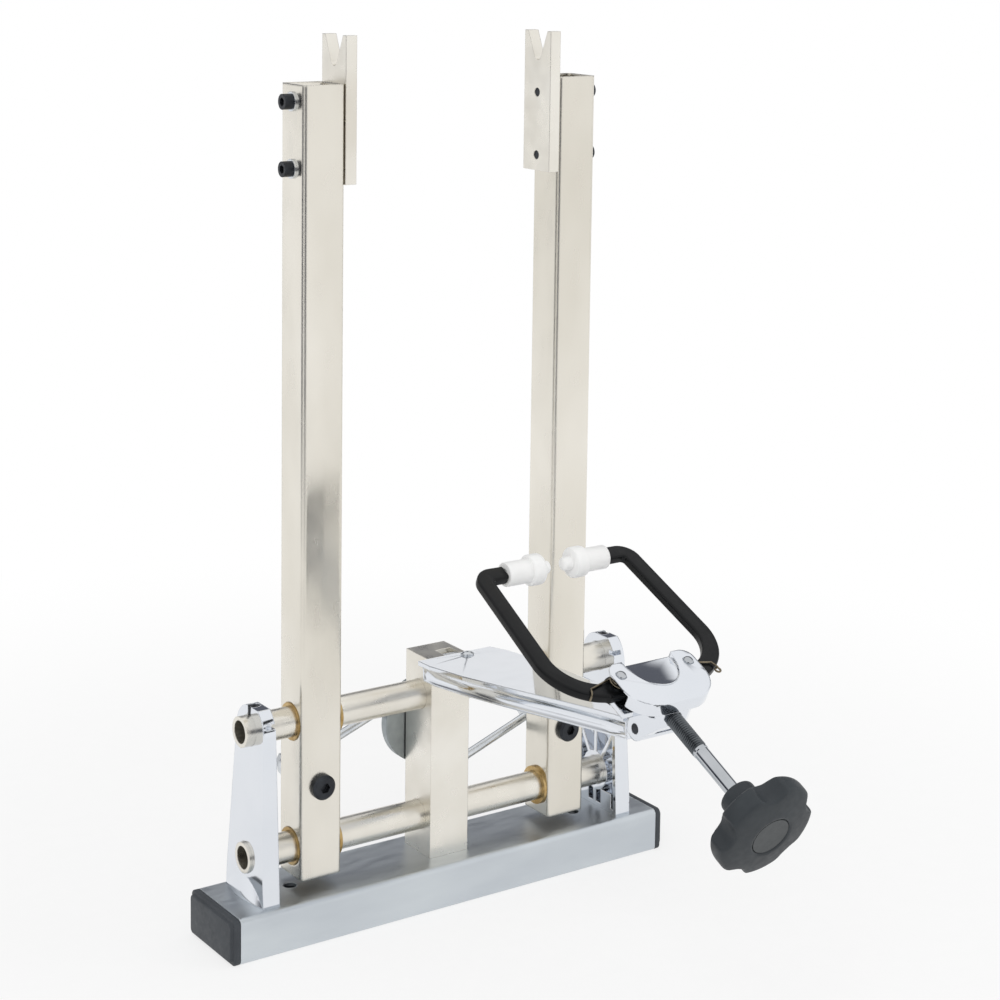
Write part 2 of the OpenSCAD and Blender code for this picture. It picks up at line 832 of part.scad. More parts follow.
module vee() {
  bottom = seat_z1 - vee_depth + vee_r;
  t = tangent_point(vee_w / 2, seat_z1, bottom, vee_r, true);
  polygon([[-vee_w / 2, seat_z1], [-vee_w / 2, seat_z1 + overrun], [vee_w / 2, seat_z1 + overrun],
    [vee_w / 2, seat_z1], t, [0, bottom], [-t[0], t[1]]]);
  translate([0, bottom]) circle(vee_r);
}

module axle_seat(s) {
  side(s)
  color("#cbc6bb")
  difference() {
    translate([upright_in - seat_t, guide_y, 0])
      yz(seat_t)
        difference() {
          translate([-upright_w / 2, seat_z0]) square([upright_w, seat_l]);
          vee();
        }
    for (z = seat_screw_z)
      translate([upright_in, guide_y, z]) rod_x(2 * seat_t + 2 * overrun, seat_screw_d + 2 * snug);
  }
}
module axle_seat_left() { axle_seat(-1); }
module axle_seat_right() { axle_seat(1); }

module seat_screws(s) {
  side(s)
  color("#2a2b2d")
  for (z = seat_screw_z)
    translate([upright_out + washer_t, guide_y, z]) rotate([0, 90, 0])
      cap_screw(seat_screw_d, washer_t + upright_w + seat_t - seat_screw_short, seat_head_d,
        seat_head_h);
}
module seat_screws_left() { seat_screws(-1); }
module seat_screws_right() { seat_screws(1); }

module seat_washers(s) {
  side(s)
  color("#9b9da0")
  for (z = seat_screw_z)
    translate([upright_out, guide_y, z]) rotate([0, 90, 0])
      difference() {
        cylinder(h = washer_t, d = washer_d);
        translate([0, 0, -overrun])
          cylinder(h = washer_t + 2 * overrun, d = seat_screw_d + 2 * running);
      }
}
module seat_washers_left() { seat_washers(-1); }
module seat_washers_right() { seat_washers(1); }

module link_bolt(s) {
  end_y = link_y + link_t / 2 + side_gap + link_nut_h + overrun;
  side(s)
  color("#26282a")
  translate([upright_x, 0, link_z])
  difference() {
    union() {
      rod_y(upright_front - overrun, end_y, link_bolt_d);
      translate([0, upright_front, 0]) rotate([90, 0, 0]) {
        cylinder(h = link_head_h - link_head_edge, d = link_bolt_head_d);
        translate([0, 0, link_head_h - link_head_edge])
          cylinder(h = link_head_edge, d1 = link_bolt_head_d,
            d2 = link_bolt_head_d - 2 * link_head_edge);
      }
    }
    translate([0, upright_front - link_head_h + link_socket_depth, 0]) rotate([90, 0, 0])
      cylinder(h = link_socket_depth + overrun, d = link_socket_d, $fn = 6);
  }
}
module link_bolt_left() { link_bolt(-1); }
module link_bolt_right() { link_bolt(1); }

module link_spacer(s) {
  side(s)
  color("#a9adb0")
  translate([upright_x, 0, link_z])
  difference() {
    rod_y(upright_back, link_y - link_t / 2 - side_gap, spacer_d);
    rod_y(upright_back - overrun, link_y, link_bolt_d + 2 * snug);
  }
}
module link_spacer_left() { link_spacer(-1); }
module link_spacer_right() { link_spacer(1); }

module link_nut(s) {
  y0 = link_y + link_t / 2 + side_gap;
  side(s)
  color("#a9adb0")
  translate([upright_x, y0, link_z])
  difference() {
    rotate([-90, 0, 0]) cylinder(h = link_nut_h, d = link_nut_d, $fn = 6);
    rod_y(-overrun, link_nut_h + overrun, link_bolt_d + 2 * snug);
  }
}
module link_nut_left() { link_nut(-1); }
module link_nut_right() { link_nut(1); }

module side_screw() {
  color("#c9c4b8")
  translate([upright_out, guide_y, side_screw_z]) rotate([0, 90, 0])
  union() {
    translate([0, 0, -2 * upright_wall]) cylinder(h = 3 * upright_wall, d = side_screw_shank);
    cylinder(h = side_screw_h / 2, d = side_screw_d);
    translate([0, 0, side_screw_h / 2])
      cylinder(h = side_screw_h / 2, d1 = side_screw_d, d2 = side_screw_shank);
  }
}

// The arm's frame: origin on the hinge, the arm running towards -Y
module on_arm() {
  translate([0, hinge_y, hinge_z]) rotate([-arm_rise, 0, 0]) children();
}

// The arm seen from above, with its half widths scaled by a share
module arm_outline(share, end) {
  last = len(arm_ends_shares) - 1;
  right = [for (i = [0:last]) if (arm_ends_shares[i] <= end)
    [share * arm_width_shares[i] * arm_w / 2, -arm_rear - arm_ends_shares[i] * arm_l]];
  left = [for (i = [last:-1:0]) if (arm_ends_shares[i] <= end)
    [-share * arm_width_shares[i] * arm_w / 2, -arm_rear - arm_ends_shares[i] * arm_l]];
  polygon(concat(right, left));
}

module caliper_arm() {
  plate_under = arm_top - arm_plate_t;
  color("#d9dce1")
  on_arm()
  difference() {
    union() {
      translate([0, 0, plate_under]) linear_extrude(arm_plate_t) arm_outline(1, 1);
      translate([0, 0, plate_under - arm_flank_h]) linear_extrude(arm_flank_h)
        difference() {
          arm_outline(flank_out_share, 1);
          arm_outline(flank_in_share, pocket_end_share);
        }
      translate([0, -arm_reach, arm_pivot_h]) rod_x(fork_w, 2 * fork_r);
      translate([-fork_w / 2, -arm_reach, arm_pivot_h - fork_r])
        cube([fork_w, fork_back + fork_root, arm_top - arm_pivot_h + fork_r]);
    }
    translate([-fork_gap / 2, -arm_reach - 2 * fork_r, arm_pivot_h - 3 * fork_r])
      cube([fork_gap, 2 * fork_r + fork_back + fork_root / 2, 6 * fork_r]);
    translate([0, -arm_reach, arm_pivot_h]) rod_x(fork_w + 2 * overrun, head_pin_d + 2 * running);
    translate([tongue_x, -arm_screw_s, 0])
      cylinder(h = arm_top + overrun, d = arm_screw_d + 2 * snug);
  }
}

module hinge_tongue() {
  top = arm_top - arm_plate_t - snug;
  w = tongue_slot_w - 2 * tongue_side_gap;
  color("#c4c6c9")
  on_arm()
  difference() {
    translate([tongue_x - w / 2, 0, 0])
      yz(w)
        union() {
          circle(tongue_r);
          polygon([[0, -tongue_r], [0, top], [-tongue_l, top],
            [-tongue_l, tongue_nose_share * top], [-2 * tongue_r, -tongue_nose_share * tongue_r]]);
        }
    translate([tongue_x, 0, 0]) rod_x(tongue_slot_w, hinge_pin_d + 2 * running);
    translate([tongue_x, -arm_screw_s, -tongue_r])
      cylinder(h = 3 * tongue_r, d = arm_screw_d + 2 * snug);
  }
}

module arm_screw() {
  color("#c9ccd0")
  on_arm()
  translate([tongue_x, -arm_screw_s, arm_top])
  difference() {
    union() {
      translate([0, 0, -arm_screw_l]) cylinder(h = arm_screw_l + overrun, d = arm_screw_d);
      cylinder(h = arm_screw_head_h / 2, d = arm_screw_head_d);
      translate([0, 0, arm_screw_head_h / 2])
        cylinder(h = arm_screw_head_h / 2, d1 = arm_screw_head_d, d2 = arm_screw_d);
    }
    translate([0, 0, arm_screw_head_h / 2])
      cylinder(h = arm_screw_head_h, d = arm_screw_d * tool_share, $fn = 6);
  }
}

// The head's frame: origin on its pivot, Y towards the tips, Z square to its plane
module on_head() {
  on_arm()
    translate([0, -arm_reach, arm_pivot_h])
      rotate([arm_rise + head_tilt, 0, 0])
        children();
}

module head_pivot_pin() {
  color("#55585b")
  on_head() rod_x(cheek_span + side_gap, head_pin_d);
}

// A cheek seen from the side, as (towards the tips, up)
module cheek_outline() {
  circle(r = cheek_r);
  polygon([[-cheek_r, 0], [wall_back, wall_foot_h], [wall_back, deck_top - deck_t / 2],
    [cheek_r, deck_top - deck_t / 2], [cheek_r, 0]]);
}

// The head's rear part from above: its wall bows out between the cheeks
module rear_plan() {
  polygon([[-cheek_span / 2, deck_front], [-cheek_span / 2, -cheek_r],
    [-wall_bow, wall_back], [wall_bow, wall_back],
    [cheek_span / 2, -cheek_r], [cheek_span / 2, deck_front]]);
}

// The wall at the head's rear, and the barrel that carries it on under the pivot
module wall_outline() {
  polygon([[-cheek_r, 0], [wall_back, wall_foot_h], [wall_back, skirt_h0], [wall_front, skirt_h0],
    [wall_front, wall_foot_h], [-barrel_in_r, 0]]);
  intersection() {
    difference() {
      circle(cheek_r);
      circle(barrel_in_r);
    }
    polygon([[0, 0], [-2 * cheek_r, overrun], 3 * cheek_r * [cos(barrel_end), sin(barrel_end)]]);
  }
}

module head_body() {
  color("#d3d6db")
  on_head()
  difference() {
    union() {
      translate([-deck_w / 2, deck_step, deck_top - deck_t])
        cube([deck_w, deck_front - deck_step, deck_t]);
      intersection() {
        union() {
          translate([-cheek_span / 2, wall_back, deck_top - deck_t])
            cube([cheek_span, deck_step - wall_back + overrun, deck_t]);
          translate([-cheek_span / 2, 0, 0]) yz(cheek_span) wall_outline();
          for (s = [-1, 1])
            side(s)
              translate([cheek_span / 2 - cheek_t, 0, 0]) yz(cheek_t) cheek_outline();
        }
        translate([0, 0, -cover_top]) linear_extrude(2 * cover_top) rear_plan();
      }
    }
    translate([-deck_slot_w / 2, wall_front, 0])
      cube([deck_slot_w, deck_front - deck_bridge - wall_front, cover_top]);
    translate([0, 0, screw_h]) rod_y(wall_back - overrun, wall_front + overrun,
      screw_d + 2 * running);
    rod_x(cheek_span + 2 * overrun, head_pin_d + 2 * snug);
    for (s = [-1, 1])
      translate([s * finger_pin_x, finger_pin_s, 0])
        cylinder(h = cover_top, d = finger_pin_d + 2 * snug);
  }
}

// The cover seen from above, inset by a wall
module cover_outline(inset) {
  w = cover_w / 2 - inset;
  f = cover_front - inset;
  b = cover_back + inset;
  fr = cover_front_r - inset;
  br = cover_back_r - inset;
  translate([-w, b + br]) square([2 * w, f - b - fr - br]);
  translate([-w + fr, f - 2 * fr]) square([2 * w - 2 * fr, 2 * fr]);
  translate([-w + br, b]) square([2 * w - 2 * br, 2 * br]);
  for (s = [-1, 1]) {
    translate([s * (w - fr), f - fr]) circle(fr);
    translate([s * (w - br), b + br]) circle(br);
  }
}

module scoop_outline(grow) {
  polygon([for (i = [0:24])
    let (a = 180 * i / 24) [(scoop_r + grow) * cos(a), -(scoop_l + grow) * sin(a)]]);
  translate([-scoop_r - grow, -grow]) square([2 * (scoop_r + grow), cover_t + grow]);
}

module head_cover() {
  scoop_angle = atan2(scoop_drop, scoop_l);
  color("#dfe2e6")
  on_head()
  difference() {
    union() {
      difference() {
        translate([0, 0, skirt_h0]) linear_extrude(cover_top - skirt_h0) cover_outline(0);
        translate([0, 0, skirt_h0 - overrun])
          linear_extrude(cover_in - skirt_h0 + overrun) cover_outline(cover_wall);
        translate([-cover_w, side_skirt_front, skirt_h0 - overrun])
          cube([2 * cover_w, cover_front, cover_in - skirt_h0 + overrun]);
      }
      translate([0, cover_front - scoop_edge, cover_top - scoop_drop - scoop_edge])
        intersection() {
          rotate([-scoop_angle, 0, 0]) linear_extrude(cover_top)
            scoop_outline(scoop_edge);
          translate([-cover_w, -cover_w, -scoop_drop])
            cube([2 * cover_w, cover_w + scoop_edge, 2 * scoop_drop + scoop_edge]);
        }
    }
    translate([0, cover_front, cover_top - scoop_drop])
      rotate([-scoop_angle, 0, 0]) linear_extrude(cover_top) scoop_outline(0);
    for (s = [-1, 1])
      translate([s * finger_pin_x, finger_pin_s, 0])
        cylinder(h = cover_top + overrun, d = finger_pin_d + 2 * snug);
  }
}

module finger_pin(s) {
  color("#e2e4e8")
  on_head()
  translate([s * finger_pin_x, finger_pin_s, 0]) {
    translate([0, 0, deck_top - deck_t])
      cylinder(h = cover_top - deck_top + deck_t + pin_head_h / 2, d = finger_pin_d);
    translate([0, 0, cover_top])
      cylinder(h = pin_head_h, d1 = pin_head_d, d2 = pin_head_d * pin_head_top_share);
  }
}
module finger_pin_left() { finger_pin(-1); }
module finger_pin_right() { finger_pin(1); }

module quarter_ring(r_out, r_in, turn) {
  rotate(turn)
    intersection() {
      difference() {
        circle(r_out);
        circle(r_in);
      }
      square([r_out, r_out]);
    }
}

// The right finger seen square to the head's plane
module finger_outline() {
  end_s = finger_reach - finger_w / 2;
  translate([finger_end_x, end_s]) square([finger_corner_x - finger_end_x, finger_w]);
  translate([finger_corner_x, finger_corner_s])
    quarter_ring(finger_top_r, finger_corner_in_r, 0);
  polygon([
    [finger_corner_x + finger_corner_in_r, finger_corner_s], [finger_out, finger_corner_s],
    [finger_bend_x + finger_bend_r, finger_bend_s],
    [finger_bend_x + finger_bend_in_r, finger_bend_s]
  ]);
  translate([finger_bend_x, finger_bend_s])
    quarter_ring(finger_bend_r, finger_bend_in_r, -90);
  translate([finger_pin_x, finger_bend_s - finger_bend_r])
    square([finger_bend_x - finger_pin_x + finger_boss_r, finger_w]);
  translate([finger_pin_x, finger_pin_s]) circle(finger_boss_r);
  translate([tail_x, tail_s]) circle(tail_r);
  translate([tail_x, tail_s])
    rotate(atan2(finger_pin_s - tail_s, finger_pin_x - tail_x))
      translate([0, -tail_w / 2])
        square([norm([finger_pin_s - tail_s, finger_pin_x - tail_x]), tail_w]);
}

module finger(s) {
  side(s)
  color("#1f2022")
  on_head()
  difference() {
    union() {
      translate([0, 0, finger_h - finger_t / 2]) linear_extrude(finger_t) finger_outline();
      translate([finger_end_x - tenon_l, finger_reach, finger_h]) rotate([0, 90, 0])
        cylinder(h = tenon_l + overrun, d = tenon_d);
    }
    translate([finger_pin_x, finger_pin_s, 0])
      cylinder(h = cover_top, d = finger_pin_d + 2 * running);
  }
}
module finger_left() { finger(-1); }
module finger_right() { finger(1); }

module tip(s) {
  nose = tip_half_gap + tip_nose_l;
  side(s)
  color("#f2f3f2")
  on_head()
  translate([0, finger_reach, finger_h]) rotate([0, 90, 0])
  difference() {
    union() {
      translate([0, 0, tip_half_gap]) cylinder(h = 2 * tip_nose_l, d = tip_nose_d);
      translate([0, 0, nose])
        cylinder(h = tip_edge, d1 = tip_collar_d - 2 * tip_edge, d2 = tip_collar_d);
      translate([0, 0, nose + tip_edge])
        cylinder(h = tip_collar_l - tip_edge, d = tip_collar_d);
      translate([0, 0, nose]) cylinder(h = finger_end_x - nose, d = tip_d);
    }
    translate([0, 0, finger_end_x - tenon_l - side_gap])
      cylinder(h = tenon_l + overrun, d = tenon_d + 2 * snug);
  }
}
module tip_left() { tip(-1); }
module tip_right() { tip(1); }

module wedge() {
  low = finger_h - finger_t / 2 + side_gap;
  color("#a0a3a6")
  on_head()
  union() {
    translate([0, 0, low]) linear_extrude(finger_t - 2 * side_gap)
      polygon([[-wedge_back_half, wedge_s0], [wedge_back_half, wedge_s0],
        [wedge_front_half, wedge_s1], [-wedge_front_half, wedge_s1]]);
    translate([-wedge_stem_w / 2, wedge_s0, wedge_stem_h0])
      cube([wedge_stem_w, wedge_s1 - wedge_s0, low - wedge_stem_h0 + overrun]);
  }
}

module adjusting_screw() {
  color("#3c3d3f")
  on_head()
  translate([0, 0, screw_h]) {
    rod_y(thread_s1, thread_s0, screw_d);
    rod_y(shank_s1 - shank_in_hub, thread_s1 + overrun, shank_d);
  }
}

module knob_outline(edge) {
  lobe_place = knob_r - lobe_r;
  circle(knob_r * knob_core_share - edge);
  for (i = [0:knob_lobes - 1])
    rotate(knob_turn + 360 * i / knob_lobes)
      translate([lobe_place, 0]) circle(lobe_r - edge);
}

module knob() {
  color("#2f3235")
  on_head()
  translate([0, 0, screw_h])
  difference() {
    union() {
      translate([0, shank_s1, 0]) rotate([90, 0, 0]) {
        cylinder(h = hub_l + hub_sink, d = hub_d);
        translate([0, 0, hub_l]) linear_extrude(knob_edge) knob_outline(knob_edge / 2);
        translate([0, 0, hub_l + knob_edge]) linear_extrude(knob_t - 2 * knob_edge)
          knob_outline(0);
        translate([0, 0, hub_l + knob_t - knob_edge]) linear_extrude(knob_edge)
          knob_outline(knob_edge / 2);
        translate([0, 0, hub_l + knob_t])
          cylinder(h = knob_face_h, d1 = 2 * knob_r * knob_core_share - knob_edge,
            d2 = knob_cap_d + knob_face_lip);
      }
    }
    rod_y(shank_s1 - shank_in_hub - side_gap, shank_s1 + overrun, shank_d + 2 * snug);
    rod_y(knob_face_s - overrun, knob_face_s + knob_cap_sink + knob_cap_t,
      knob_cap_d + 2 * snug);
  }
}

module knob_cap() {
  color("#34373a")
  on_head()
  translate([0, 0, screw_h])
    rod_y(knob_face_s + knob_cap_sink, knob_face_s + knob_cap_sink + knob_cap_t, knob_cap_d);
}

// The spring's line about the right finger's pin: a leg over the finger that hooks
// down its edge, the coil, and a leg that lies under the cover
function coil_point(a) =
  [coil_r * cos(a), coil_r * sin(a), coil_pitch * (a - coil_start) / 360];
coil_steps = coil_turns * coil_rings;
coil_points = [for (i = [0:coil_steps]) coil_point(coil_start + 360 * i / coil_rings)];
hook_clear_r = finger_bend_r + wire_d / 2 + side_gap;
hook_s = finger_bend_s - finger_pin_s
  - sqrt(pow(hook_clear_r, 2) - pow(leg_l + finger_pin_x - finger_bend_x, 2));
spring_path = concat(
  [[leg_l, hook_s, -hook_l], [leg_l, hook_s, 0], [leg_l - leg_bend, hook_s + leg_rise, 0],
    [wire_d, coil_r, 0]],
  coil_points,
  [[coil_r, coil_r, coil_pitch * coil_turns]]
);

function unit(v) = v / norm(v);
function along(p, i) =
  let (last = len(p) - 1)
  unit(i == 0 ? p[1] - p[0] : i == last ? p[last] - p[last - 1]
    : unit(p[i + 1] - p[i]) + unit(p[i] - p[i - 1]));
// The ring's first direction is carried along the path, so that it never twists
function carried(p, i, side_dir) =
  i == len(p) ? [] :
  let (t = along(p, i), d = unit(side_dir - (side_dir * t) * t))
  concat([[d, cross(t, d)]], carried(p, i + 1, d));

module wire(p) {
  frames = carried(p, 0, [0, 0, 1] + [1, 1, 0] / wire_sides);
  points = [for (i = [0:len(p) - 1]) for (k = [0:wire_sides - 1])
    p[i] + wire_d / 2 * (cos(360 * k / wire_sides) * frames[i][0]
      + sin(360 * k / wire_sides) * frames[i][1])];
  n = wire_sides;
  faces = concat(
    [for (i = [0:len(p) - 2]) for (k = [0:n - 1]) [i * n + k, (i + 1) * n + k,
      (i + 1) * n + (k + 1) % n]],
    [for (i = [0:len(p) - 2]) for (k = [0:n - 1]) [i * n + k, (i + 1) * n + (k + 1) % n,
      i * n + (k + 1) % n]],
    [for (k = [1:n - 2]) [0, k, k + 1]],
    [for (k = [1:n - 2]) let (b = (len(p) - 1) * n) [b, b + k + 1, b + k]]
  );
  polyhedron(points, faces);
}

module spring(s) {
  side(s)
  color("#6a6459")
  on_head()
  translate([finger_pin_x, finger_pin_s, coil_h0]) wire(spring_path);
}
module spring_left() { spring(-1); }
module spring_right() { spring(1); }

// Least gap between turns of the coil, measured between points half a turn or more apart
coil_gap = min([for (i = [0:coil_steps]) for (j = [0:coil_steps])
  if (j - i >= coil_rings / 2) norm(coil_points[i] - coil_points[j])]) - wire_d;
echo(spring_least_gap = coil_gap);

base_tube();
end_cap_left();
end_cap_right();
bracket_left();
bracket_right();
bracket_bolts();
collar_screws();
guide_tube_lower();
guide_tube_upper();
centre_block();
block_bolts();
hinge_pin();
rocker_screw();
rocker();
link_left();
link_right();
upright_left();
upright_right();
bushings_left();
bushings_right();
axle_seat_left();
axle_seat_right();
seat_screws_left();
seat_screws_right();
seat_washers_left();
seat_washers_right();
link_bolt_left();
link_bolt_right();
link_spacer_left();
link_spacer_right();
link_nut_left();
link_nut_right();
side_screw();
caliper_arm();
hinge_tongue();
arm_screw();
head_pivot_pin();
head_body();
head_cover();
finger_pin_left();
finger_pin_right();
spring_left();
spring_right();
finger_left();
finger_right();
tip_left();
tip_right();
wedge();
adjusting_screw();
knob();
knob_cap();
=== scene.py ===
# %% [markdown]
# # A bench stand for truing bicycle wheels
# Two plated uprights slide apart on round guide tubes and hold the wheel's axle in their
# notches. A hinged chromed arm brings two black fingers with nylon tips up to the rim, and a
# screw with a lobed knob closes them. The measured model comes first: every piece below is
# put on it, in metres, in the same frame, so nothing needs fitting by eye.

# %% Load the measured model
import math
import bpy
from mathutils import Matrix, Vector


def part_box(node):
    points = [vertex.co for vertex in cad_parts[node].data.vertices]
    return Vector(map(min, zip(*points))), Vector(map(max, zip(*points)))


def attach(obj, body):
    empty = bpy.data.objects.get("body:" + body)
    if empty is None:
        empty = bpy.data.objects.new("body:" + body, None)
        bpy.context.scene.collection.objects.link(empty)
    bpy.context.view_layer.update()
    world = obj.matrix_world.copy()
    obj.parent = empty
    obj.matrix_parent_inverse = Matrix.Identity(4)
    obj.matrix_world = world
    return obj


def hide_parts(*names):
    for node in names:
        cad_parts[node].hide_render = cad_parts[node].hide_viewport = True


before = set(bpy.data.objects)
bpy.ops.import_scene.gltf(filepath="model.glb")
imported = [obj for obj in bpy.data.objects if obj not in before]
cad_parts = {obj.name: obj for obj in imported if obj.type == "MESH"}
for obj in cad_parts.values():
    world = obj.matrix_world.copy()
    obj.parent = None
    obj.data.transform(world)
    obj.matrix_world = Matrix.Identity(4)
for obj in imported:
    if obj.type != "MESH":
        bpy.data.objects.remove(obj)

scene = bpy.context.scene
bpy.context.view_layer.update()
MM = 0.001

# %% [markdown]
# ## The camera
# The photograph was taken from the left and above the base, with a long lens and the frame
# pushed down over the stand. That framing is kept by the lens's shift, so upright edges stay
# as upright as they are in the picture. A camera looks along its own minus Z, so its three
# axes are written as the columns of its matrix.

# %% Camera
yaw, pitch, roll = (math.radians(a) for a in (-34.797, 6.527, -0.82))
ahead = Vector((-math.sin(yaw) * math.cos(pitch), math.cos(yaw) * math.cos(pitch), -math.sin(pitch)))
level = Vector((math.cos(yaw), math.sin(yaw), 0))
below = ahead.cross(level)
to_right = level * math.cos(roll) + below * math.sin(roll)
to_top = level * math.sin(roll) - below * math.cos(roll)
camera = bpy.data.objects.new("camera", bpy.data.cameras.new("camera"))
scene.collection.objects.link(camera)
camera.matrix_world = (Matrix.Translation((-0.8053, -1.2433, 0.6577))
                       @ Matrix((to_right, to_top, -ahead)).transposed().to_4x4())
camera.data.sensor_width = 36
camera.data.lens = 81.54
camera.data.shift_x = -0.0174
camera.data.shift_y = -0.3210
scene.camera = camera
scene.view_settings.view_transform = "Standard"
print("camera is", round(camera.location.length, 3), "m from the stand")

# %% [markdown]
# ## Nodes and colours
# A material is a small graph. One function adds a node, sets its properties, and fills or
# links its sockets, which keeps each finish short enough to read. Colours are written the
# way a paint chip is, as sRGB hex, and turned to the linear values that light works in.

# %% Helpers for materials
def srgb(text):
    """The linear colour of an sRGB hex value."""
    parts = [int(text[i:i + 2], 16) / 255 for i in (1, 3, 5)]
    return [p / 12.92 if p <= 0.04045 else ((p + 0.055) / 1.055) ** 2.4 for p in parts] + [1]


def add(tree, kind, sockets=None, **settings):
    """Adds a node: settings are its properties, sockets are values or outputs to link."""
    node = tree.nodes.new("ShaderNode" + kind)
    for key, value in settings.items():
        setattr(node, key, value)
    for key, value in (sockets or {}).items():
        if isinstance(value, bpy.types.NodeSocket):
            tree.links.new(value, node.inputs[key])
        else:
            node.inputs[key].default_value = value
    return node


def mapped(tree, value, start, end, bottom=0, top=1, kind="LINEAR"):
    """A value between start and end, spread over bottom to top and held at both ends."""
    return add(tree, "MapRange", {0: value, 1: start, 2: end, 3: bottom, 4: top},
               interpolation_type=kind).outputs[0]


def maths(tree, operation, first, second):
    """The result of one operation on two values."""
    return add(tree, "Math", {0: first, 1: second}, operation=operation).outputs[0]


def agreement(tree, direction, towards):
    """How well a direction agrees with a given one: their dot product."""
    return add(tree, "VectorMath", {0: direction, 1: towards},
               operation="DOT_PRODUCT").outputs["Value"]


def rays(tree):
    """Two outputs: is the ray seen, be it straight, mirrored or through, and is it mirrored."""
    path = add(tree, "LightPath").outputs
    seen = maths(tree, "MAXIMUM", path["Is Camera Ray"], path["Is Glossy Ray"])
    return maths(tree, "MAXIMUM", seen, path["Is Transmission Ray"]), path["Is Glossy Ray"]


print("white is", srgb("#ffffff"), "and mid grey", round(srgb("#808080")[0], 3))

# %% [markdown]
# ## The studio
# The picture's background is plain white, and the chrome is almost white with a few dark
# streaks: bright plating shows the room and not itself. So the world is white to the camera
# and to reflections, with one soft dark band behind the stand, as an unlit wall beyond the
# table gives, and two dark patches before it, between the lamps. What it sheds on surfaces is
# held lower, at a plain level, so that no pale colour clips. Two broad lamps add direction.
# The pale floor keeps the stand's shadow near it, glows evenly further out, and is dark where
# the two patches stand over it, so that upright mirrors find them there too.

# %% World
white, unlit = (1, 1, 1, 1), srgb("#2b3040")
dark_patches = ((-0.52, -0.85, -0.1), (-0.96, 0.26, -0.1))
patch_start, patch_full = 0.87, 0.95
behind_stand = (0.45, 0.89, 0)
band_start, band_full = 0.1, 0.7
band_by_height = ((0.001, 0.1), (0.17, 0.1), (0.26, 0.9), (0.56, 0.9), (0.66, 0))
below_level, overhead = (0.1, 0.1, 0.1, 1), (0, 0, 0, 1)
shed_on_surfaces = 0.66
world = bpy.data.worlds.new("white studio")
scene.world = world
world.use_nodes = True
tree = world.node_tree
tree.nodes.clear()
seen, mirrored = rays(tree)
direction = add(tree, "TexCoord").outputs["Generated"]
height = add(tree, "SeparateXYZ", {0: direction}).outputs["Z"]
wall = add(tree, "ValToRGB", {0: height})
wall.color_ramp.interpolation = "EASE"
for place, darkness in band_by_height:
    stop = wall.color_ramp.elements.new(place)
    stop.color = [darkness] * 3 + [1]
wall.color_ramp.elements[0].color = below_level
wall.color_ramp.elements[-1].color = overhead
behind = mapped(tree, agreement(tree, direction, behind_stand), band_start, band_full,
                kind="SMOOTHSTEP")
dark = maths(tree, "MULTIPLY", wall.outputs["Color"], behind)
for towards in dark_patches:
    patch = mapped(tree, agreement(tree, direction, towards), patch_start, patch_full,
                   kind="SMOOTHSTEP")
    dark = maths(tree, "MAXIMUM", dark, patch)
dark = maths(tree, "MULTIPLY", dark, mirrored)
tone = add(tree, "MixRGB", {"Fac": dark, "Color1": white, "Color2": unlit})
background = add(tree, "Background", {"Color": tone.outputs[0],
                                      "Strength": mapped(tree, seen, 0, 1, shed_on_surfaces, 1)})
add(tree, "OutputWorld", {"Surface": background.outputs[0]})
print("world has", len(tree.nodes), "nodes")

# %% Lamps
lamps = (("key", (-1.5, -1.7, 2.0), 1.4, 26), ("fill", (2.1, -1.2, 1.5), 1.6, 10))
lamp_aim = Vector((0, 0, 0.25))
for name, spot, size, watts in lamps:
    lamp = bpy.data.objects.new(name + " lamp", bpy.data.lights.new(name + " lamp", "AREA"))
    scene.collection.objects.link(lamp)
    lamp.data.shape = "DISK"
    lamp.data.size = size
    lamp.data.energy = watts
    lamp.location = spot
    lamp.rotation_euler = (lamp_aim - lamp.location).to_track_quat("-Z", "Y").to_euler()
    lamp.visible_glossy = False
    print(name, "lamp at", round(lamp.location.length, 2), "m")

# %% Floor
floor_size, fibres_per_m = 14, 900
glow_start, glow_full, least_glow = 0.25, 0.85, 0.74
bearing_start, bearing_full = 0.9, 0.96
dim_start, dim_full, most_dimmed = 0.9, 1.5, 0.9
bpy.ops.object.select_all(action="DESELECT")
bpy.ops.mesh.primitive_plane_add(size=floor_size, location=(0, 0, 0))
floor = bpy.context.object
floor.name = "studio_floor"
paper = bpy.data.materials.new("white paper floor")
paper.use_nodes = True
tree = paper.node_tree
tree.nodes.clear()
seen, mirrored = rays(tree)
fibre = add(tree, "TexNoise", {"Scale": fibres_per_m, "Detail": 3})
tone = add(tree, "MixRGB", {"Fac": fibre.outputs["Fac"], "Color1": srgb("#eeeeee"),
                            "Color2": srgb("#f6f6f6")})
matt = add(tree, "BsdfDiffuse", {"Color": tone.outputs[0]})
spot = add(tree, "TexCoord").outputs["Object"]
away = add(tree, "VectorMath", {0: spot}, operation="LENGTH").outputs["Value"]
bearing = add(tree, "VectorMath", {0: spot}, operation="NORMALIZE").outputs[0]
sides = [mapped(tree, agreement(tree, bearing, (*towards[:2], 0)), bearing_start, bearing_full,
                kind="SMOOTHSTEP") for towards in dark_patches]
far = mapped(tree, away, dim_start, dim_full, 0, most_dimmed, "SMOOTHSTEP")
dim = maths(tree, "MULTIPLY", maths(tree, "MAXIMUM", *sides), far)
dim = maths(tree, "MULTIPLY", dim, mirrored)
tone = add(tree, "MixRGB", {"Fac": dim, "Color1": white, "Color2": unlit})
glow = add(tree, "Emission", {"Color": tone.outputs[0], "Strength": 1})
share = mapped(tree, away, glow_start, glow_full, least_glow, 1, "SMOOTHSTEP")
half = add(tree, "MixShader", {0: share, 1: matt.outputs[0], 2: glow.outputs[0]})
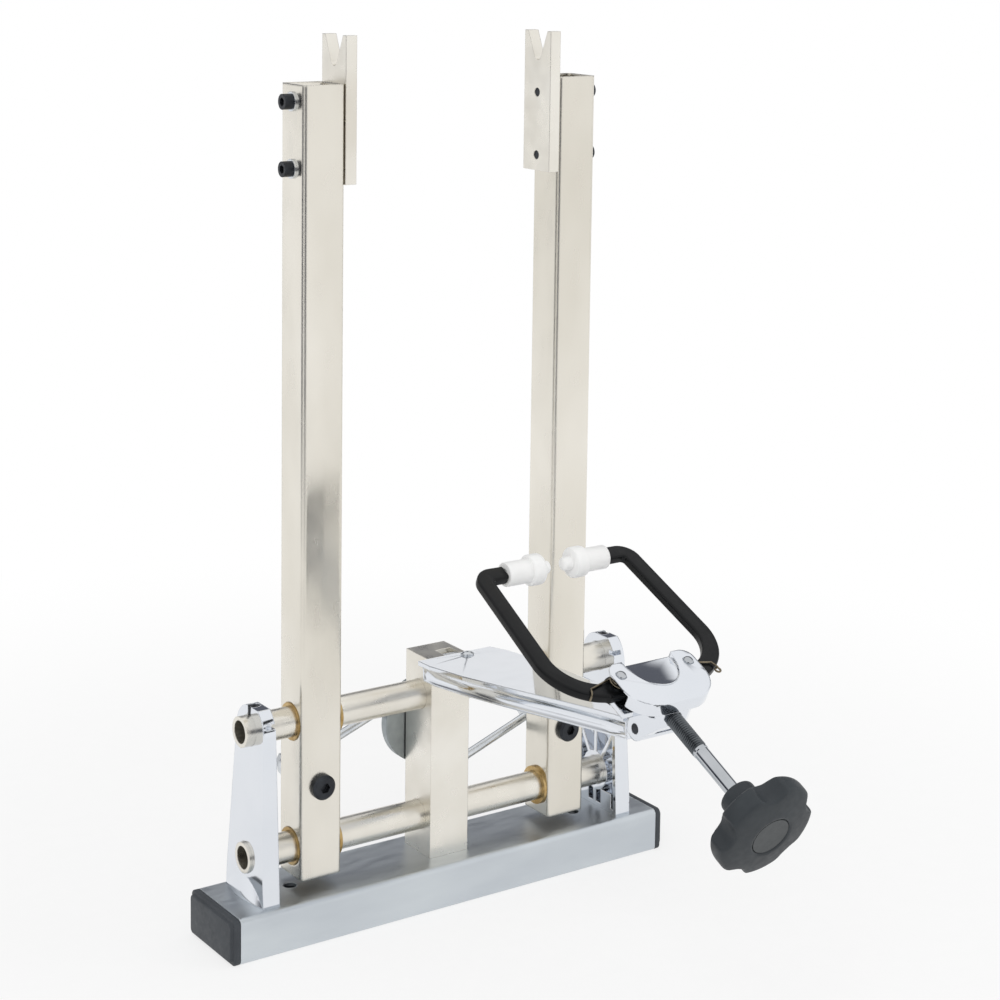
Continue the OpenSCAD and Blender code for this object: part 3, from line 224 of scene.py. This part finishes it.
both = add(tree, "MixShader", {0: seen, 1: matt.outputs[0], 2: half.outputs[0]})
add(tree, "OutputMaterial", {"Surface": both.outputs[0]})
floor.data.materials.append(paper)
print("floor is", floor.dimensions.x, "m across")

# %% [markdown]
# ## The finishes
# Most of the stand is plated metal, and what tells one plating from the next is small: the
# warmth of nickel, the blue of zinc, the clean black and white of chrome. Each finish starts
# from a principled shader, takes clouded colour and roughness from noise in real sizes, and
# has its sharp edges rounded for the light by a bevel node, because no real edge is a knife.
# One function lays out what they share, and each finish then gives its own values.

# %% A finish's common parts
noise_low, noise_high = 0.3, 0.7
specks_per_cloud = 6


def finish(name, colour, second, rough, metal=1.0, cloud=30, stretch=(1, 1, 1), edge=0.5,
           grain=(2500, 0.02, 0.05), **more):
    """cloud is in patches per metre, edge in mm, grain in specks per metre, strength and mm."""
    material = bpy.data.materials.new(name)
    material.use_nodes = True
    tree = material.node_tree
    tree.nodes.clear()
    spot = add(tree, "TexCoord").outputs["Object"]
    drawn = add(tree, "Mapping", {"Vector": spot, "Scale": stretch}).outputs[0]
    patch = add(tree, "TexNoise", {"Vector": drawn, "Scale": cloud, "Detail": 3, "Roughness": 0.5})
    level = mapped(tree, patch.outputs["Fac"], noise_low, noise_high)
    tone = add(tree, "MixRGB", {"Fac": level, "Color1": srgb(colour), "Color2": srgb(second)})
    speck = add(tree, "TexNoise", {"Vector": drawn, "Scale": cloud * specks_per_cloud, "Detail": 3})
    matt = mapped(tree, speck.outputs["Fac"], noise_low, noise_high, *rough)
    fine = add(tree, "TexNoise", {"Vector": spot, "Scale": grain[0], "Detail": 2})
    soft = add(tree, "Bevel", {"Radius": edge * MM}, samples=6)
    bump = add(tree, "Bump", {"Height": fine.outputs["Fac"], "Strength": grain[1],
                              "Distance": grain[2] * MM, "Normal": soft.outputs[0]})
    surface = add(tree, "BsdfPrincipled", {"Base Color": tone.outputs[0], "Metallic": metal,
                                           "Roughness": matt, "Normal": bump.outputs[0], **more})
    add(tree, "OutputMaterial", {"Surface": surface.outputs[0]})
    return material


# %% Plated metals
# bright nickel over steel: warm, slightly yellow, clouded in hand-sized patches
nickel = finish("bright nickel plate", "#efece4", "#dfdacf", (0.24, 0.38), cloud=14, edge=0.8)
# the same plating on the square tubes, whose rolled corners are rounder and whose flats are smoother
nickel_tube = finish("bright nickel plated square tube", "#ece8df", "#d8d3c7", (0.16, 0.30),
                     cloud=11, edge=2.2, stretch=(1, 1, 0.5))
# blue passivated zinc: colder and duller than nickel, streaked along the rolled tube
zinc = finish("blue zinc plate", "#d3d9dd", "#c4cad0", (0.30, 0.44), cloud=30, edge=1.0,
              stretch=(0.25, 1, 1))
# polished chrome over a casting: near mirror, a trace of the casting's waviness under it
chrome = finish("chrome plated casting", "#e6e9ee", "#dfe3e9", (0.05, 0.10), cloud=14, edge=1.2,
                grain=(160, 0.05, 0.1))
# zinc plated rod, pins, washers and nuts
bright = finish("bright zinc plated steel", "#dde0e3", "#cbcfd3", (0.18, 0.32), cloud=90, edge=0.4)
# ground and polished steel of the screw's shank and the rivets, which mirrors in long streaks
polished = finish("polished steel", "#c3c6ca", "#b4b8bc", (0.05, 0.12), cloud=60, edge=0.3)
# raw zinc casting of the rocker behind the block, greyer with soft dark stains
cast_zinc = finish("zinc die casting", "#a9b0b3", "#83898c", (0.30, 0.5), cloud=40, edge=0.9,
                   grain=(700, 0.25, 0.1))
# black oxide on screws, an oily blue-black that still shows a highlight
oxide = finish("black oxide steel", "#3a3d42", "#2b2d31", (0.32, 0.46), metal=0.75, cloud=150,
               edge=0.5)
# the same oxide on the rolled thread, rubbed to a dark shine on its crests
thread_oxide = finish("rubbed black oxide thread", "#6a6e72", "#54585c", (0.18, 0.28), cloud=150,
                      edge=0.1)
# sintered bronze bushes, golden at their turned faces
bronze = finish("turned bronze", "#cfb482", "#a98a55", (0.25, 0.4), cloud=120, edge=0.4)
# oiled spring wire, brown where the oil has dried
wire_finish = finish("oiled spring wire", "#8d8371", "#6e6454", (0.28, 0.42), cloud=260, edge=0.2)
print("plated metals made")

# %% Plastics and paint
# satin black powder coat on the fingers, with its faint orange peel
enamel = finish("satin black powder coat", "#0b0d0f", "#08090b", (0.28, 0.38), metal=0.0, cloud=60,
                edge=0.3, grain=(900, 0.10, 0.1), **{"Specular IOR Level": 0.22})
# fine-grained moulded caps in the base tube's ends
cap_plastic = finish("grained black polyethylene", "#42464b", "#383c41", (0.48, 0.6), metal=0.0,
                     cloud=50, edge=0.6, grain=(1800, 0.25, 0.1), **{"Specular IOR Level": 0.4})
# glass-filled nylon of the knob: dark grey, matt, sandy
knob_plastic = finish("sandy moulded nylon", "#34393d", "#2b2f33", (0.44, 0.56), metal=0.0, cloud=45,
                      edge=0.5, grain=(1500, 0.30, 0.12), **{"Specular IOR Level": 0.35})
# the disc in the knob's face: the same nylon, smoother and a shade lighter
disc_plastic = finish("smooth moulded disc", "#3c4042", "#35393b", (0.40, 0.5), metal=0.0, cloud=45,
                      edge=0.3, grain=(1500, 0.12, 0.1))
# natural nylon tips let a little light in, which whitens their shadows
nylon = finish("natural nylon", "#f5f5f4", "#efefee", (0.34, 0.46), metal=0.0, cloud=80, edge=0.4,
               grain=(1200, 0.08, 0.1))
shader = next(n for n in nylon.node_tree.nodes if n.type == "BSDF_PRINCIPLED")
shader.inputs["Subsurface Weight"].default_value = 0.35
shader.inputs["Subsurface Radius"].default_value = (4 * MM, 4 * MM, 4 * MM)
shader.inputs["Subsurface Scale"].default_value = 1.0
print("plastics and paint made")

# %% [markdown]
# ## Dressing the measured parts
# Parts whose shape is right as measured keep it and only get their finish. The record gives
# each part a material slot, so one table from slot to finish dresses them all.

# %% Finishes on the measured parts
finishes = {"zinc_base": zinc, "black_plastic": cap_plastic, "chrome_casting": chrome,
            "black_steel": oxide, "nickel_plate": nickel, "bright_steel": bright,
            "zinc_casting": cast_zinc, "bronze": bronze, "black_enamel": enamel, "nylon": nylon,
            "spring_wire": wire_finish, "knob_plastic": knob_plastic}
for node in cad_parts.values():
    for holder in node.material_slots:
        holder.material = finishes[holder.material.name]
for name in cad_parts:
    if name.startswith("upright"):
        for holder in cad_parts[name].material_slots:
            holder.material = nickel_tube if holder.material == nickel else holder.material
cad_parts["knob_cap"].material_slots[0].material = disc_plastic
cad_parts["head_pivot_pin"].material_slots[0].material = oxide
print(len(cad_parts), "parts dressed in", len(finishes), "finishes")

# %% [markdown]
# ## Tools for making pieces
# Operators act on whatever is selected, so each piece starts from an empty selection. A
# finished piece keeps its object at the origin, with its place in its mesh.

# %% Helpers for pieces
WELD = 1e-6
SEED = 0.001


def alone(piece=None):
    """Leaves nothing selected but the piece."""
    if bpy.context.object and bpy.context.object.mode != "OBJECT":
        bpy.ops.object.mode_set(mode="OBJECT")
    bpy.ops.object.select_all(action="DESELECT")
    if piece:
        piece.select_set(True)
        bpy.context.view_layer.objects.active = piece


def apply(piece, kind, **settings):
    """Adds a modifier and applies it."""
    alone(piece)
    modifier = piece.modifiers.new(kind.lower(), kind)
    for key, value in settings.items():
        setattr(modifier, key, value)
    bpy.ops.object.modifier_apply(modifier=modifier.name)


def settle(piece, name, finish_used, body, where=None, smooth=35, replaces=()):
    """Places a piece, smooths its faces, dresses it, and lets it ride on its body."""
    alone(piece)
    if where is not None:
        piece.matrix_world = where @ piece.matrix_world
    bpy.ops.object.transform_apply(location=True, rotation=True, scale=True)
    bpy.ops.object.shade_smooth_by_angle(angle=math.radians(smooth))
    piece.name = name
    piece.data.name = name
    piece.data.materials.clear()
    piece.data.materials.append(finish_used)
    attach(piece, body)
    if replaces:
        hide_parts(*replaces)
    print(name, "has", len(piece.data.polygons), "faces and rides on", body)
    return piece


def turned(profile, steps=64):
    """A shape turned on a lathe: its profile of (radius, height) in mm, spun about Z.

    The profile grows from a seed, a small plane that is merged to one point.
    """
    alone()
    bpy.ops.mesh.primitive_plane_add(size=SEED, location=(profile[0][0] * MM, 0, profile[0][1] * MM))
    piece = bpy.context.object
    bpy.ops.object.mode_set(mode="EDIT")
    bpy.ops.mesh.merge(type="CENTER")
    for (r0, z0), (r1, z1) in zip(profile, profile[1:]):
        bpy.ops.mesh.extrude_vertices_move(
            TRANSFORM_OT_translate={"value": ((r1 - r0) * MM, 0, (z1 - z0) * MM)})
    bpy.ops.mesh.select_all(action="SELECT")
    bpy.ops.mesh.spin(steps=steps, angle=math.tau, center=(0, 0, 0), axis=(0, 0, 1))
    bpy.ops.mesh.select_all(action="SELECT")
    bpy.ops.mesh.remove_doubles(threshold=WELD)
    bpy.ops.mesh.normals_make_consistent(inside=False)
    bpy.ops.object.mode_set(mode="OBJECT")
    return piece


def whole(node, join=True):
    """A copy of a measured part, its triangles joined into whole faces if asked."""
    piece = bpy.data.objects.new(node + "_copy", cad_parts[node].data.copy())
    scene.collection.objects.link(piece)
    alone(piece)
    bpy.ops.object.mode_set(mode="EDIT")
    bpy.ops.mesh.select_all(action="SELECT")
    bpy.ops.mesh.remove_doubles(threshold=WELD)
    if join:
        bpy.ops.mesh.dissolve_limited(angle_limit=math.radians(1))
    bpy.ops.object.mode_set(mode="OBJECT")
    return piece


def rounded(node, width, segments=3, angle=30):
    """A whole copy with all its sharp edges rounded."""
    piece = whole(node)
    apply(piece, "BEVEL", width=width * MM, segments=segments, limit_method="ANGLE",
          angle_limit=math.radians(angle), use_clamp_overlap=False, miter_outer="MITER_ARC")
    return piece


def bevel_edges(piece, chosen, offset, segments):
    """Bevels the edges whose two ends pass the test."""
    alone(piece)
    bpy.ops.object.mode_set(mode="EDIT")
    bpy.ops.mesh.select_mode(type="EDGE")
    bpy.ops.mesh.select_all(action="DESELECT")
    bpy.ops.object.mode_set(mode="OBJECT")
    for e in piece.data.edges:
        a, b = (piece.data.vertices[i].co / MM for i in e.vertices)
        e.select = chosen(a, b)
    bpy.ops.object.mode_set(mode="EDIT")
    bpy.ops.mesh.bevel(offset=offset * MM, segments=segments, clamp_overlap=False)
    bpy.ops.mesh.select_mode(type="VERT")
    bpy.ops.object.mode_set(mode="OBJECT")


both_sides = (("left", -1), ("right", 1))
head_tilt = math.radians(25)
low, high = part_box("head_pivot_pin")
head = Matrix.Translation((low + high) / 2) @ Matrix.Rotation(head_tilt, 4, "X")
print("head frame's origin", [round(v, 4) for v in head.translation])

# %% [markdown]
# ## The uprights
# Square tube is rolled, so its four long corners are round. They catch the room as fine dark
# lines all the way up, which a sharp corner can't. Copies of the measured tubes have just
# those four edges bevelled.

# %% Uprights
corner_r, long_edge, on_outline = 2.6, 100, 0.1
for side in ("left", "right"):
    low, high = (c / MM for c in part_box("upright_" + side))
    tube = whole("upright_" + side)
    bevel_edges(tube, lambda a, b: abs(a.z - b.z) > long_edge and all(
        min(abs(a[i] - low[i]), abs(a[i] - high[i])) < on_outline for i in (0, 1)), corner_r, 6)
    settle(tube, "square_tube_" + side, nickel_tube, "carriage_" + side, None, 25,
           ["upright_" + side])

# %% [markdown]
# ## The arm
# The cast arm's flanks are not flat but hollowed like a cove, under a thin lip, so they mirror
# more of the room than its floor. Each flank's faces are inset six times: level for the lip,
# then steeply, then less and less so, which bends the flank inward and keeps its outline.

# %% Arm
cove = ((0.9, 0.0), (0.5, 0.45), (0.8, 0.5), (0.9, 0.35), (0.9, 0.2), (0.8, 0.08))
least_area, outside, facing, sideways = 0.9e-4, 0.008, 0.85, 0.5
arm = whole("caliper_arm", join=False)
for sign in (-1, 1):
    alone(arm)
    bpy.ops.object.mode_set(mode="EDIT")
    bpy.ops.mesh.select_mode(type="FACE")
    bpy.ops.mesh.select_all(action="DESELECT")
    bpy.ops.object.mode_set(mode="OBJECT")
    for face in arm.data.polygons:
        face.select = (face.normal.x * sign > facing and face.center.x * sign > outside
                       and face.area > least_area)
    print("flank faces", sum(f.select for f in arm.data.polygons))
    bpy.ops.object.mode_set(mode="EDIT")
    for wide, deep in cove:
        bpy.ops.mesh.inset(thickness=wide * MM, depth=-deep * MM, use_even_offset=True)
    bpy.ops.mesh.select_mode(type="VERT")
    bpy.ops.object.mode_set(mode="OBJECT")
settle(arm, "arm_casting", chrome, "arm", None, 30, ["caliper_arm"])
# the arm's flat faces stay flat, and only the hollows are smooth
for face in arm.data.polygons:
    face.use_smooth = abs(face.normal.x) > sideways

# %% [markdown]
# ## The knob
# A moulded knob with five soft lobes on a hub. Its body is a turned shape, so it is spun from
# a profile. The flutes between the lobes are cut with round cutters, as a mould's core would
# leave them, and a remesh with a little smoothing gives every edge the moulder's radius.

# %% Knob
screw_h = 14
screw_axis = head @ Matrix.Translation((0, 0, screw_h * MM)) @ Matrix.Rotation(math.radians(90), 4, "X")
hub_start = 74
knob = turned([(4.6, 0), (9.8, 0), (10.7, 0.5), (11, 1.3), (11, 14), (11.6, 15.8), (13.5, 16.9),
               (16, 17.2), (27.5, 17.4), (29.7, 18.2), (31, 19.6), (31.5, 21.5), (31.5, 28),
               (31, 29.8), (29.6, 31), (27, 31.9), (22, 32.9), (17, 33.7), (13.4, 34.2), (12.5, 34),
               (12.2, 33.2), (12.2, 31.5), (0, 31.5), (0, 25.1), (4.6, 25.1), (4.6, 0)], 120)
lobes, first_flute, flute_r, flute_place = 5, 102, 12, 38.2
cutter_long, cutter_mid = 0.06, 0.02
for i in range(lobes):
    a = math.radians(first_flute + 360 // lobes * i)
    alone()
    place = (flute_place * MM * math.cos(a), flute_place * MM * math.sin(a), cutter_mid)
    bpy.ops.mesh.primitive_cylinder_add(vertices=96, radius=flute_r * MM, depth=cutter_long,
                                        location=place)
    cutter = bpy.context.object
    apply(knob, "BOOLEAN", object=cutter, operation="DIFFERENCE", solver="EXACT")
    bpy.data.objects.remove(cutter)
apply(knob, "REMESH", mode="VOXEL", voxel_size=0.0007)
apply(knob, "SMOOTH", factor=0.5, iterations=14)
settle(knob, "knob_body", knob_plastic, "knob",
       screw_axis @ Matrix.Translation((0, 0, hub_start * MM)), 60, ["knob"])

# %% [markdown]
# ## The adjusting screw
# A black screw with a coarse metric thread, then a bright turned shank into the knob. The
# thread is a real helix: one turn's tooth, carried round and along by a screw modifier. A
# bump would look alike from far off but leave the outline smooth.

# %% Thread
pitch, thread_r, root_r = 1.5, 5.0, 4.25
thread_start, thread_end = 2.8, 38.5
turns = int((thread_end - thread_start) / pitch)
alone()
bpy.ops.mesh.primitive_plane_add(size=SEED, location=(root_r * MM, 0, thread_start * MM))
thread = bpy.context.object
bpy.ops.object.transform_apply(location=True)
bpy.ops.object.mode_set(mode="EDIT")
bpy.ops.mesh.merge(type="CENTER")
for dr, dz in ((thread_r - root_r, 0.62), (0, 0.16), (root_r - thread_r, 0.62), (0, 0.1)):
    bpy.ops.mesh.extrude_vertices_move(TRANSFORM_OT_translate={"value": (dr * MM, 0, dz * MM)})
bpy.ops.object.mode_set(mode="OBJECT")
apply(thread, "SCREW", angle=math.tau, screw_offset=pitch * MM, iterations=turns, steps=40,
      render_steps=40, axis="Z", use_merge_vertices=True, merge_threshold=WELD, use_normal_calculate=True)
alone(thread)
bpy.ops.object.mode_set(mode="EDIT")
bpy.ops.mesh.select_all(action="SELECT")
bpy.ops.mesh.normals_make_consistent(inside=False)
bpy.ops.object.mode_set(mode="OBJECT")
settle(thread, "screw_thread", thread_oxide, "knob", screw_axis, 25, ["adjusting_screw"])

# %% Shank
shank = turned([(0, 3.0), (3.9, 3.0), (3.9, 38.0), (4.9, 38.2), (4.9, 39.6), (4.5, 40.2), (4.5, 98),
                (0, 98)])
settle(shank, "screw_shank", polished, "knob", screw_axis, 30)

# %% [markdown]
# ## The fingers and their tips
# Each finger is a flat bar bent round to the rim, coated satin black. Its measured shape is
# right but knife-edged, so a copy has its triangles joined and its edges rounded. The nylon
# tips are turned parts: a round nose, a wide collar with soft edges, and a sleeve.

# %% Fingers
for side in ("left", "right"):
    finger = rounded("finger_" + side, 1.5, 4)
    settle(finger, "finger_bar_" + side, enamel, "finger_" + side, None, 30,
           ["finger_" + side])

# %% Tips
reach, finger_h = 124, 19
profile = [(0, 5), (2.4, 5), (3.5, 5.5), (4.1, 6.4), (4.25, 7.4), (4.25, 11), (4.6, 11.5),
           (7.8, 11.5), (9.0, 11.9), (9.6, 12.7), (9.75, 13.8), (9.75, 19.2), (9.5, 20.3),
           (8.9, 20.9), (7.7, 21.1), (7.5, 21.4), (7.5, 37.4), (7.2, 38), (2.4, 38), (2.4, 34), (0, 34)]
for side, sign in both_sides:
    tip = turned(profile)
    where = (head @ Matrix.Translation((0, reach * MM, finger_h * MM))
             @ Matrix.Rotation(math.radians(sign * 90), 4, "Y"))
    settle(tip, "nylon_tip_" + side, nylon, "finger_" + side, where, 30, ["tip_" + side])

# %% [markdown]
# ## The head's cover
# A chromed cover lies over the fingers' pivots, with a scoop pressed into its front edge. Its
# measured shape is right, so a copy only gets its sharp edges rounded, which thick plating over
# a polished casting always does. The rounding is real, because mirror edges draw bright lines.

# %% Cover
cover = rounded("head_cover", 0.6, 3, 35)
settle(cover, "cover_plate", chrome, "head", None, 35, ["head_cover"])

# %% [markdown]
# ## Rivets
# The fingers turn on riveted pins, whose silver domes show on the cover. Each is a turned
# shape: a pin, a small step and a flattened dome.

# %% Rivets
pin_x, pin_s, pin_r, pin_foot, cover_top = 25, 16, 3, 11.7, 29.5
dome = ((pin_r, -0.6), (3.1, -0.5), (3.1, 0.1), (2.9, 0.6), (2.3, 1.1), (1.3, 1.4), (0.5, 1.5),
        (0, 1.5))
for side, sign in both_sides:
    rivet = turned([(0, pin_foot), (pin_r, pin_foot)] + [(r, cover_top + h) for r, h in dome], 48)
    settle(rivet, "rivet_" + side, polished, "head",
           head @ Matrix.Translation((sign * pin_x * MM, pin_s * MM, 0)), 50, ["finger_pin_" + side])

# %% [markdown]
# ## The springs
# A coil of wire round each pin presses the finger's tail on the wedge. One leg runs out over
# the finger and hooks over its edge. The wire is a curve with a round section, turned into a
# mesh, because a wire is a line with a thickness and nothing more.

# %% Springs
wire_r, coil_r, coil_low, coil_high, coil_turns = 0.65, 5.2, 23.1, 26.4, 1.75
eye_r, eye_x, eye_s, eye_h = 1.7, 46.6, 10.6, 21.6


def spring_line(sign):
    """The spring's points in the head's frame, in mm, from its hook, or the right one's eye, on."""
    line = [(46.4, 12.17, 18.0), (46.4, 12.17, 21.5), (46.3, 12.5, 22.9), (45.8, 13.6, 23.2),
            (44.9, 16.2, 23.2), (41, 17.2, 23.1), (33, 19.5, 23.0)]
    if sign > 0:
        eye = [(eye_x + eye_r * math.cos(a), eye_s - eye_r * math.sin(a), eye_h)
               for a in [math.radians(d) for d in range(-40, 300, 20)]]
        line = eye[::-1] + [(47.0, 12.3, 22.6)] + line[3:]
    steps = int(24 * coil_turns)
    for i in range(steps + 1):
        a = math.radians(90 + 360 * coil_turns * i / steps)
        line.append((pin_x + coil_r * math.cos(a), pin_s + coil_r * math.sin(a),
                     coil_low + (coil_high - coil_low) * i / steps))
    return [(sign * x, s, h) for x, s, h in line]


for side, sign in both_sides:
    alone()
    points = spring_line(sign)
    curve = bpy.data.curves.new("spring_" + side + "_line", "CURVE")
    curve.dimensions = "3D"
    curve.bevel_depth = wire_r * MM
    curve.bevel_resolution = 3
    curve.use_fill_caps = True
    spline = curve.splines.new("POLY")
    spline.points.add(len(points) - 1)
    for point, place in zip(spline.points, points):
        point.co = [c * MM for c in place] + [1]
    spring = bpy.data.objects.new("spring_wire_" + side, curve)
    scene.collection.objects.link(spring)
    alone(spring)
    bpy.ops.object.convert(target="MESH")
    settle(spring, "spring_wire_" + side, wire_finish, "finger_" + side, head, 60,
           ["spring_" + side])

# %% [markdown]
# ## End caps
# The base tube's ends are closed by moulded caps, which show a soft dark rim round the tube.
# Rounded copies of the measured caps give that rim.

# %% End caps
for side in ("left", "right"):
    cap = rounded("end_cap_" + side, 0.9, 3)
    settle(cap, "moulded_cap_" + side, cap_plastic, "base", None, 30,
           ["end_cap_" + side])
